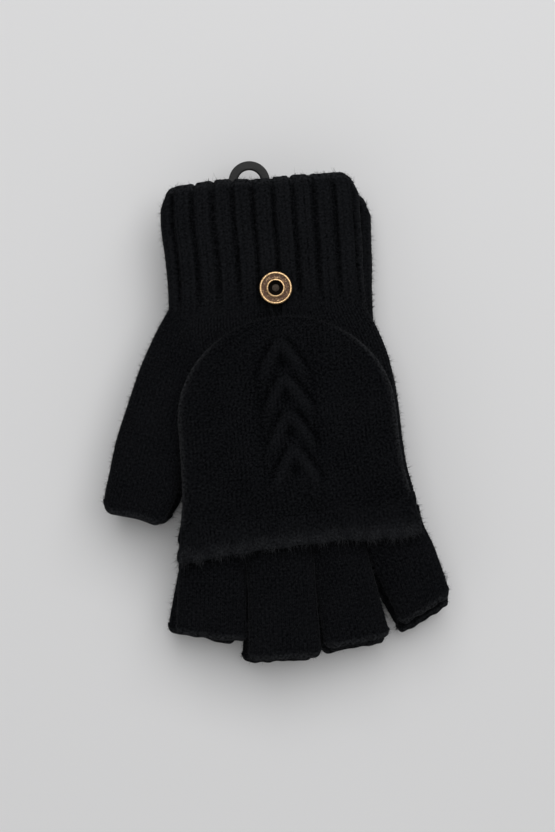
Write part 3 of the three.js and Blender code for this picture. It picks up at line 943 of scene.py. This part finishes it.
def make_welt(lie):
    """The hem: the flap's cloth folded back on itself, thin where sewn and plump at the fold."""
    knit = bpy.context.scene.mitten_knit
    # mm: radius at the flap's edges, half the width, its middle, how far it goes round, its height
    wrap, reach, centre, turn_in, sewn_at = 2.6, 51.4, 1.2, 4.2, 17.45
    left_flare, right_flare = -2.2, 0.9
    run = np.arange(-reach - turn_in, reach + turn_in, 0.42)
    over = np.clip(np.abs(run) - (reach - wrap), 0.0, None)
    angle = np.minimum(over / wrap, math.pi * 0.62)
    flat_x = centre + np.sign(run) * (np.minimum(np.abs(run), reach - wrap) + wrap * np.sin(angle))
    drop = wrap * (1.0 - np.cos(angle))
    top, fold = welt_lines(flat_x)
    fold = fold + 1.6 * smoothstep(reach - 7.0, reach + 1.0, np.abs(run))
    turn = once_round(110)
    along, deep = boxed(np.cos(turn), 0.5), boxed(np.sin(turn), 0.8)
    taper = np.sqrt(np.clip(smoothstep(0.0, 2.6, reach + turn_in - np.abs(run)), 0.02, 1.0))
    mid = ((top + fold) / 2)[:, None]
    span = ((top - fold) / 2 * (0.72 + 0.28 * taper))[:, None]
    plump = 0.75 + 1.1 * smoothstep(0.6, -0.9, along)
    y = mid + span * along
    # the fold's ends stand out past the flap's sides
    flare = np.clip(-along, 0.0, 1.0) * np.where(run < 0, left_flare, right_flare)[:, None]
    x = flat_x[:, None] + flare * smoothstep(reach - 9.0, reach, np.abs(run))[:, None]
    lift = plump * deep * taper[:, None]
    out = np.stack([np.sin(angle) * np.sign(run), np.cos(angle)], -1)
    sewn = 0.15 * smoothstep(0.2, 1.0, along)
    base = (sewn_at - drop)[:, None] - sewn
    grid = np.stack([x + lift * out[:, 0:1], y, base + lift * out[:, 1:2]], -1)
    u = np.broadcast_to((run / knit.wale)[:, None], grid.shape[:2])
    height = stitches(u, (y - top[:, None]) / knit.course)
    tuck = bell((y - top[:, None] + 1.6) / 0.6) * (deep > 0)
    n = normals_of(grid, 60)
    push = height * knit.relief - 0.12 * tuck + waves(x, y, 51, 0.3, 9.0)
    grid = grid + n * push[..., None]
    keep_off_table(grid, lie)
    # the fold, rubbed and fuzzy, which is painted lighter, partly as painted sheen
    worn = smoothstep(0.0, -1.0, along)
    # tone for the hem: painted shade between stitches, painted highlight on their crowns and on the
    # fold
    tone = np.clip(0.3 + 0.5 * height + 0.5 * worn, 0.0, 1.0)
    patchy = np.clip(0.7 + waves(x, y, 52, 0.5, 7.0), 0.2, 1.3)
    wear_and_sheen = 0.09 * worn * patchy + 0.1 * edge_on(n)
    piece = mesh_piece(f"{lie.side}_flap_welt_knit", grid, lie, (u * knit.wale, y), tone, wear_and_sheen)
    settle(piece, lie.pocket, "rib_knit", knitted_wool(), f"{lie.side}_flap_welt")
    hairy = 0.004 + 0.996 * worn * patchy / 1.3
    # the fold's fibres get more of the pale rubbed colour, partly as painted sheen
    halo(
        "flap_welt", lie, grid, lie.pocket, "rib_knit", hairy, stretch=1.5, comb=(0.0, -0.9, 0.25),
        wear_and_sheen=0.42,
    )


def yarn_piece(name, lie, path, radius, ply, twist_mm):
    """A yarn or braided cord of so many strands twisted together, its ends drawn in and closed."""
    points, furrow = 18, 0.3
    ahead = np.gradient(path, axis=0)
    ahead /= np.linalg.norm(ahead, axis=1, keepdims=True)
    side = np.cross(ahead, [0.0, 0.0, 1.0])
    side /= np.maximum(np.linalg.norm(side, axis=1, keepdims=True), 1e-9)
    rise = np.cross(side, ahead)
    run = np.concatenate([[0.0], np.cumsum(np.linalg.norm(np.diff(path, axis=0), axis=1))])
    turn = once_round(points)
    strand = np.abs(np.cos((turn + run[:, None] * (2 * math.pi / twist_mm)) * ply / 2))
    ring = side[:, None] * np.cos(turn)[:, None] + rise[:, None] * np.sin(turn)[:, None]
    ends = smoothstep(0.0, radius * 1.2, np.minimum(run, run[-1] - run)) * 0.8 + 0.2
    reach = (radius - radius * furrow * (1.0 - strand)) * ends[:, None]
    grid = path[:, None] + ring * reach[..., None]
    uv = (np.broadcast_to(turn * radius, reach.shape), np.broadcast_to(run[:, None], reach.shape))
    return mesh_piece(name, grid, lie, uv, 0.6)


def make_seam(lie):
    """The linking yarn that joins the flap to the knuckles: a chain of slanting stitches."""
    stitch = 2.6  # mm
    x = np.linspace(-42.0, 46.0, 620)
    sway, bob = np.sin(x * 2 * math.pi / stitch), np.cos(x * 2 * math.pi / (stitch / 2))
    path = np.stack([x, KNUCKLE + 0.32 * sway, HINGE - 0.75 + 0.3 * bob], -1)
    piece = yarn_piece(f"{lie.side}_flap_seam_yarn", lie, path, 0.62, 2, 1.9)
    settle(piece, lie.glove, "linking_yarn", knitted_wool(), f"{lie.side}_flap_seam")


def make_loop(lie):
    """The elastic loop: out of the flap's tip, round the button's neck and back."""
    bend, height = 3.7, HINGE + 0.35
    start, narrow, count = -9.0, 1.9, 40
    turn = np.linspace(math.pi, 0.0, count)
    arc = [(bend * math.cos(a), BUTTON_Y + bend * math.sin(a)) for a in turn]
    rise = np.linspace(0.0, 1.0, count)
    left = [(-narrow - (bend - narrow) * t, start + (BUTTON_Y - start) * t) for t in rise]
    right = [(-x, y) for x, y in left[::-1]]
    flat = np.array(left[:-1] + arc + right[1:])
    dip = 0.3 * smoothstep(-3.0, -8.0, flat[:, 1])
    path = np.column_stack([flat, height + dip])
    piece = yarn_piece(f"{lie.side}_button_loop_elastic", lie, path, 0.8, 6, 5.0)
    settle(piece, lie.flap, "elastic_cord", braided_elastic(), f"{lie.side}_button_loop")


def turned(name, lie, profile, seat, worn, count, grain=None):
    """A turned or stamped round piece: profile of (radius, height), worn from 0 to 1 at each point,
    and perhaps a grain that gives how far each point stands up."""
    profile = np.asarray(profile, float)
    turn = once_round(count)
    radius = np.broadcast_to(profile[:, 0:1], (len(profile), count))
    height = np.broadcast_to(profile[:, 1:2], (len(profile), count)).copy()
    if grain is not None:
        height += grain(radius, turn[None, :])
    grid = np.stack([radius * np.cos(turn), BUTTON_Y + radius * np.sin(turn), seat + height], -1)
    tone = np.broadcast_to(np.asarray(worn, float)[:, None], grid.shape[:2])
    return mesh_piece(name, grid, lie, None, tone, looped=True)


def rounded(knots):
    """Runs a smooth line through a profile's points, with each corner eased; values ride along."""
    steps, ease = 5, 0.22
    knots = np.asarray(knots, float)
    closed = np.concatenate([knots[-1:], knots, knots[:2]])
    out = []
    for a, b, c in zip(closed, closed[1:], closed[2:]):
        back, on = (np.linalg.norm((end - b)[:2]) for end in (a, c))
        reach = min(ease, 0.45 * back, 0.45 * on)
        before = b + (a - b) / max(back, 1e-9) * reach
        after = b + (c - b) / max(on, 1e-9) * reach
        for t in np.linspace(0.0, 1.0, steps):
            out.append(before * (1 - t) ** 2 + b * 2 * t * (1 - t) + after * t * t)
    return np.array(out)[: len(knots) * steps]


def make_button(lie):
    """The dished button on its hollow neck: an outer rim, a pebbled ring and an inner rim round the
    well, and the tack that holds it."""
    stand, top = 2.3, 4.5
    knots = [  # radius, height, wear
        (1.5, 0.0, 0.1), (2.5, 0.0, 0.1), (2.5, stand, 0.1), (6.7, stand, 0.2),
        (7.3, stand + 0.5, 0.6), (7.3, top - 0.7, 0.9), (7.0, top - 0.15, 1.0),
        (6.45, top - 0.1, 0.95), (6.0, top - 0.55, 0.0), (5.2, top - 0.62, -0.02),
        (4.3, top - 0.5, 0.02), (3.95, top - 0.08, 0.9), (3.5, top, 1.0), (3.3, top - 0.2, 0.9),
        (3.15, top - 0.6, -0.9), (3.0, stand + 0.9, -1.0), (1.9, stand + 0.6, -1.0),
        (1.5, stand + 0.5, -1.0),
    ]
    line = rounded(knots)

    def pebbles(radius, turn):
        """Two rows of low bumps round the ring between the rims, on the face only."""
        band = smoothstep(4.15, 4.45, radius) * (1.0 - smoothstep(5.85, 6.1, radius))
        ring = np.sin(turn * 44 + np.sin(radius * 5.0) * 1.4) * np.cos((radius - 5.1) * 4.6)
        on_face = line[:, 1:2] > stand + 0.8
        return np.where(on_face, 0.10 * ring * band, 0.0)

    cap = turned(
        f"{lie.side}_button_cap_brass", lie, line[:, :2], BUTTON_SEAT, line[:, 2], 160, pebbles
    )
    settle(cap, lie.glove, "antique_brass", antique_brass(), f"{lie.side}_button_cap")
    cloth, disc = 2.3, 0.6
    plate = BUTTON_SEAT - cloth - disc
    post = BUTTON_SEAT + stand + 1.3 - plate
    tack = rounded([
        (0.02, -0.8, 0.4), (4.6, -0.8, 0.6), (5.0, -0.4, 0.8), (4.6, 0.0, 0.6), (1.15, 0.0, 0.3),
        (1.15, post - 0.62, 0.4), (1.7, post - 0.5, 0.6), (1.6, post - 0.2, 0.9), (0.02, post, 1.0),
    ])
    nail = turned(f"{lie.side}_button_tack_steel", lie, tack[:, :2], plate, tack[:, 2], 64)
    settle(nail, lie.glove, "tack_metal", dull_steel(), f"{lie.side}_button_tack")


def halo(what, lie, grid, body, slot, share=1.0, stretch=1.0, comb=(0, 0, 0), wear_and_sheen=0.15):
    """Loose fibres that stand out of the cloth: short, curved, tapering needles. grid is the cloth's
    outer points; share, from 0 to 1, is how hairy each of them is; comb lays them over."""
    knit = bpy.context.scene.mitten_knit
    name = f"{lie.side}_{what}_fibres"
    per_cm2, seed = FIBRES[what]
    rng = np.random.default_rng(seed)
    n = normals_of(grid, len(grid) // 2)
    step = np.linalg.norm(np.cross(np.roll(grid, -1, 1) - grid, np.gradient(grid, axis=0)), axis=2)
    bunching, wander, bend, sag = 0.2, 0.75, 0.45, 0.6
    mm2_per_cm2 = 100.0
    edge = 0.14 + 0.86 * edge_on(n) ** 0.5
    weight = (step * share * edge).ravel()
    number = int(weight.sum() / mm2_per_cm2 * per_cm2)
    # they stand in tufts, with nearly bare cloth in between
    weight = weight * rng.gamma(bunching, 1.0, len(weight))
    picked = rng.choice(len(weight), number, p=weight / weight.sum())
    root, way = grid.reshape(-1, 3)[picked], n.reshape(-1, 3)[picked]
    lean = rng.normal(0.0, wander, (number, 3))
    way = way + lean * (0.6 if any(comb) else 1.0) + np.array(comb, float)
    way /= np.linalg.norm(way, axis=1, keepdims=True)
    length = knit.halo * stretch * (0.35 + np.minimum(rng.gamma(1.2, 0.5, number), 1.6))
    curl = rng.normal(0.0, bend, (number, 3))
    side = np.cross(way, rng.normal(0.0, 1.0, (number, 3)))
    side /= np.linalg.norm(side, axis=1, keepdims=True)
    third = np.cross(way, side)
    sunk = 0.15  # how far a root reaches into the cloth, in mm
    rings = []
    for along, radius in ((0.0, 0.05), (0.5, 0.036)):  # share of the length, radius in mm
        middle = root + (way * along + curl * along**2 * sag) * length[:, None]
        middle = middle - way * sunk * (along == 0)
        for k in range(3):
            turn = 2 * math.pi * k / 3
            rings.append(middle + (side * math.cos(turn) + third * math.sin(turn)) * radius)
    rings.append(root + (way + curl * sag) * length[:, None])
    grid = np.stack(rings, 1)
    keep_off_table(grid, lie)
    points = lie.row(grid).reshape(-1, 3)
    faces = []  # two rings of three points and a tip
    for a, b in ((0, 1), (1, 2), (2, 0)):
        faces += [[a, b, b + 3], [a, b + 3, a + 3]]
    faces = np.array([*faces, [3, 4, 6], [4, 5, 6], [5, 3, 6], [2, 1, 0]])
    if lie.sign < 0:
        faces = faces[:, ::-1]
    every = (faces[None] + (np.arange(number) * 7)[:, None, None]).reshape(-1, 3)
    mesh = bpy.data.meshes.new(name)
    mesh.from_pydata(points.tolist(), [], every.tolist())
    mesh.uv_layers.new(name="knit")
    # the fibres take the light tone of the stitches' painted highlight and a share of the pale rubbed
    # colour, which is partly painted sheen
    point_value(mesh, "relief", np.full(len(points), 0.8))
    point_value(mesh, "wear_and_sheen", np.full(len(points), wear_and_sheen))
    return settle(link(name, mesh), body, slot, loose_wool_fibre())


# ---------------------------------------------------------------- the hanger and its pin


def circle(x, y, radius, start=0.0, end=2 * math.pi, count=64):
    """Points round a circle or along an arc of it."""
    turn = np.linspace(start, end, count, endpoint=abs(end - start) < 2 * math.pi - 1e-6)
    return [(x + radius * math.cos(a), y + radius * math.sin(a)) for a in turn]


def face_outwards(mesh, weld=0.0):
    """Turns a closed mesh's faces outwards, after joining points closer together than weld."""
    work = bmesh.new()
    work.from_mesh(mesh)
    if weld:
        bmesh.ops.remove_doubles(work, verts=work.verts, dist=weld)
    bmesh.ops.recalc_face_normals(work, faces=work.faces)
    work.to_mesh(mesh)
    work.free()


def moulded_plate(name, lie, outlines, thick, fillet):
    """A flat moulding: its outline and its holes, in millimetres, with every edge rounded."""
    curve = bpy.data.curves.new(name, "CURVE")
    curve.dimensions, curve.fill_mode = "2D", "BOTH"
    curve.extrude, curve.bevel_depth, curve.bevel_resolution = thick / 2 - fillet, fillet, 4
    curve.offset = -fillet
    for outline in outlines:
        spline = curve.splines.new("POLY")
        spline.points.add(len(outline) - 1)
        spline.points.foreach_set("co", [c for x, y in outline for c in (x, y, 0.0, 1.0)])
        spline.use_cyclic_u = True
    drawn = link(name, curve)
    seen = drawn.evaluated_get(bpy.context.evaluated_depsgraph_get())
    mesh = bpy.data.meshes.new_from_object(seen)
    bpy.data.objects.remove(drawn)
    bpy.data.curves.remove(curve)
    face_outwards(mesh, weld=0.002)
    mesh.transform(Matrix.Translation(lie.row([0.0, 0.0, 0.0])) @ Matrix.Scale(MM, 4))
    mesh.name = name
    mesh.shade_smooth()
    mesh.set_sharp_from_angle(angle=math.radians(40.0))
    return link(name, mesh)


def make_hanger():
    """The hanger: a ring to hang the pair by, and a tongue that reaches down between the cuffs."""
    x, y, ring, eye, thick = HANGER_X, HANGER_Y, 9.3, 5.2, 2.0
    half, foot, ease, corner = 5.5, 30.0, 2.5, 3.0  # the tongue, and the arcs at its two ends
    # where an easing arc touches both the ring and the tongue's side
    drop = math.sqrt((ring + ease) ** 2 - (half + ease) ** 2)
    lean = math.atan2(drop, half + ease)
    outline = circle(x, y, ring, -lean, math.pi + lean, 90)
    outline += circle(x - half - ease, y - drop, ease, lean, 0.0, 10)
    outline += circle(x - half + corner, foot + corner, corner, math.pi, 1.5 * math.pi, 12)
    outline += circle(x + half - corner, foot + corner, corner, 1.5 * math.pi, 2 * math.pi, 12)
    outline += circle(x + half + ease, y - drop, ease, math.pi, math.pi - lean, 10)
    holes = [circle(x, y, eye), circle(x, PIN_Y, 1.0, count=32)]
    piece = moulded_plate("hanger_hook_moulding", GLOVES[0], [outline, *holes], thick, 0.8)
    colour = bpy.context.scene.mitten_colours.plastic
    plastic = moulded_plastic("satin_moulded_polypropylene", colour, 0.62, 0.6)
    settle(piece, "hanger", "hanger_plastic", plastic, "hanger_hook")


def make_pin():
    """The tag pin: a drawn thread through both cuffs and the hanger, with a bar across each end."""
    low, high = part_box("tag_pin")
    middle = [(a + b) / 2 for a, b in zip(low, high)]
    reach = (high[2] - low[2]) / 2
    stem, bar, half = 0.6 * MM, 0.8 * MM, 4.5 * MM
    count = 16
    points, faces = [], []
    run = np.linspace(-half, half, 25)
    drawn_in = np.clip((np.abs(run) - half + bar) / bar, 0, 1) ** 2
    bar_radii = bar * np.sqrt(np.clip(1 - drawn_in, 0.02, 1))
    # stem along Z, then the two bars along X, each drawn in to round ends
    for base, axis, run, radii in (
        ((0, 0, 0), 2, np.linspace(-reach + bar, reach - bar, 24), np.full(24, stem)),
        ((0, 0, reach - bar), 0, run, bar_radii),
        ((0, 0, bar - reach), 0, run, bar_radii),
    ):
        first = len(points)
        for along, radius in zip(run, radii):
            for a in once_round(count):
                ring = [radius * math.cos(a), radius * math.sin(a)]
                ring.insert(axis, along)
                points.append([m + b + c for m, b, c in zip(middle, base, ring)])
        for i in range(len(run) - 1):
            for j in range(count):
                a, b = (first + i * count + k for k in (j, (j + 1) % count))
                faces.append([a, b, b + count, a + count])
        last = first + (len(run) - 1) * count
        faces += [[first + j for j in range(count - 1, -1, -1)], [last + j for j in range(count)]]
    mesh = bpy.data.meshes.new("tag_pin_nylon")
    mesh.from_pydata(points, [], faces)
    face_outwards(mesh)
    mesh.shade_smooth()
    nylon = moulded_plastic("drawn_black_nylon", "#1C1C1E", 0.4, 0.2)
    settle(link("tag_pin_nylon", mesh), "right_glove", "pin_nylon", nylon, "tag_pin")


# ---------------------------------------------------------------- the stage


def make_stage():
    """A pale table in an even pale room, a soft window at the upper right with a white card opposite
    it, and the camera above."""
    scene = bpy.context.scene
    stage = scene.mitten_stage
    reach = 3.0
    table = bpy.data.meshes.new("table_top")
    corners = [(-reach, -reach, 0.0), (reach, -reach, 0.0), (reach, reach, 0.0), (-reach, reach, 0.0)]
    table.from_pydata(corners, [], [[0, 1, 2, 3]])
    table.materials.append(matt_table_top())
    top = bpy.data.objects.new("table_top", table)
    top.location.z = -0.0001  # just clear of what lies on it

    lamps = []
    for name, place, wide, deep, power in (  # metres
        ("window", (0.30, 0.74, 1.5), 2.0, 1.7, stage.key),
        ("white_card", (-0.7, -0.8, 0.9), 1.4, 1.0, stage.fill),
    ):
        light = bpy.data.lights.new(name, "AREA")
        light.shape, light.size, light.size_y, light.energy = "RECTANGLE", wide, deep, power
        lamp = bpy.data.objects.new(name, light)
        lamp.location = place
        lamp.rotation_euler = (-lamp.location).to_track_quat("-Z", "Y").to_euler()
        lamps.append(lamp)

    room = bpy.data.worlds.new("pale_room")
    room.use_nodes = True
    room.node_tree.nodes.clear()
    tree = room.node_tree
    even = add(tree, "ShaderNodeBackground", {"Color": linear("#F4F4F3"), "Strength": stage.sky})
    add(tree, "ShaderNodeOutputWorld", {"Surface": even.outputs["Background"]})
    scene.world = room
    scene.view_settings.view_transform = "Standard"

    lens = bpy.data.cameras.new("overhead")
    lens.lens, lens.sensor_width = stage.lens, 36.0
    lens.clip_start, lens.clip_end = 0.01, 20.0
    camera = bpy.data.objects.new("overhead", lens)
    camera.location = (0.0046, -0.0022, stage.height)  # over the middle of the pair
    camera.rotation_euler = (0.0, 0.0, stage.turn)
    for made in (top, *lamps, camera):
        scene.collection.objects.link(made)
    scene.camera = camera


# ---------------------------------------------------------------- the add-on


class GlovePieces:
    """Makes an operator's pieces, once for each glove of the pair."""

    makers = ()

    def execute(self, context):
        for lie in GLOVES:
            for make in self.makers:
                make(lie)
        return {"FINISHED"}


class MITTENS_OT_cuffs(GlovePieces, bpy.types.Operator):
    """Knits the two wide-ribbed cuffs"""

    bl_idname = "mittens.cuffs"
    bl_label = "Cuffs"
    makers = (make_cuff,)


class MITTENS_OT_hands(GlovePieces, bpy.types.Operator):
    """Knits the two hands"""

    bl_idname = "mittens.hands"
    bl_label = "Hands"
    makers = (make_hand,)


class MITTENS_OT_thumbs(GlovePieces, bpy.types.Operator):
    """Knits the two open thumbs"""

    bl_idname = "mittens.thumbs"
    bl_label = "Thumbs"
    makers = (make_thumb,)


class MITTENS_OT_fingers(GlovePieces, bpy.types.Operator):
    """Knits the eight half fingers"""

    bl_idname = "mittens.fingers"
    bl_label = "Half fingers"
    makers = (make_fingers,)


class MITTENS_OT_flaps(GlovePieces, bpy.types.Operator):
    """Knits the two flaps, each a pocket of two layers with a chevron cable"""

    bl_idname = "mittens.flaps"
    bl_label = "Flaps"
    makers = (make_flap,)


class MITTENS_OT_welts(GlovePieces, bpy.types.Operator):
    """Sews the hem round the mouth of each flap"""

    bl_idname = "mittens.welts"
    bl_label = "Flap welts"
    makers = (make_welt,)


class MITTENS_OT_sewing(GlovePieces, bpy.types.Operator):
    """Links each flap to the knuckles with yarn and sews in its elastic loop"""

    bl_idname = "mittens.sewing"
    bl_label = "Seams and loops"
    makers = (make_seam, make_loop)


class MITTENS_OT_buttons(GlovePieces, bpy.types.Operator):
    """Stamps the two brass buttons and their tacks"""

    bl_idname = "mittens.buttons"
    bl_label = "Buttons"
    makers = (make_button,)


class MITTENS_OT_hanger(bpy.types.Operator):
    """Moulds the hanger and the pin that holds it between the cuffs"""

    bl_idname = "mittens.hanger"
    bl_label = "Hanger and pin"

    def execute(self, context):
        make_hanger()
        make_pin()
        return {"FINISHED"}


class MITTENS_OT_stage(bpy.types.Operator):
    """Sets the table, the light and the camera"""

    bl_idname = "mittens.stage"
    bl_label = "Stage"

    def execute(self, context):
        make_stage()
        return {"FINISHED"}


OPERATORS = (
    MITTENS_OT_cuffs, MITTENS_OT_hands, MITTENS_OT_thumbs, MITTENS_OT_fingers, MITTENS_OT_flaps,
    MITTENS_OT_welts, MITTENS_OT_sewing, MITTENS_OT_buttons, MITTENS_OT_hanger, MITTENS_OT_stage,
)


class MITTENS_PT_panel(bpy.types.Panel):
    """Lists the mittens' settings and the operators that make them"""

    bl_idname = "MITTENS_PT_panel"
    bl_label = "Flip-top mittens"
    bl_space_type = "VIEW_3D"
    bl_region_type = "UI"
    bl_category = "Mittens"

    def draw(self, context):
        scene = context.scene
        for settings in (scene.mitten_knit, scene.mitten_colours, scene.mitten_stage):
            column = self.layout.column(align=True)
            for name in settings.__annotations__:
                column.prop(settings, name)
        for operator in OPERATORS:
            self.layout.operator(operator.bl_idname)


SETTINGS = {
    "mitten_knit": KnitSettings, "mitten_colours": ColourSettings, "mitten_stage": StageSettings,
}


def register():
    for group in SETTINGS.values():
        bpy.utils.register_class(group)
    for name, group in SETTINGS.items():
        setattr(bpy.types.Scene, name, PointerProperty(type=group))
    for made in (*OPERATORS, MITTENS_PT_panel):
        bpy.utils.register_class(made)


def unregister():
    for made in reversed((*OPERATORS, MITTENS_PT_panel)):
        bpy.utils.unregister_class(made)
    for name, group in SETTINGS.items():
        delattr(bpy.types.Scene, name)
        bpy.utils.unregister_class(group)


def main():
    register()
    for operator in OPERATORS:
        group, name = operator.bl_idname.split(".")
        getattr(getattr(bpy.ops, group), name)()


if __name__ == "__main__":
    main()
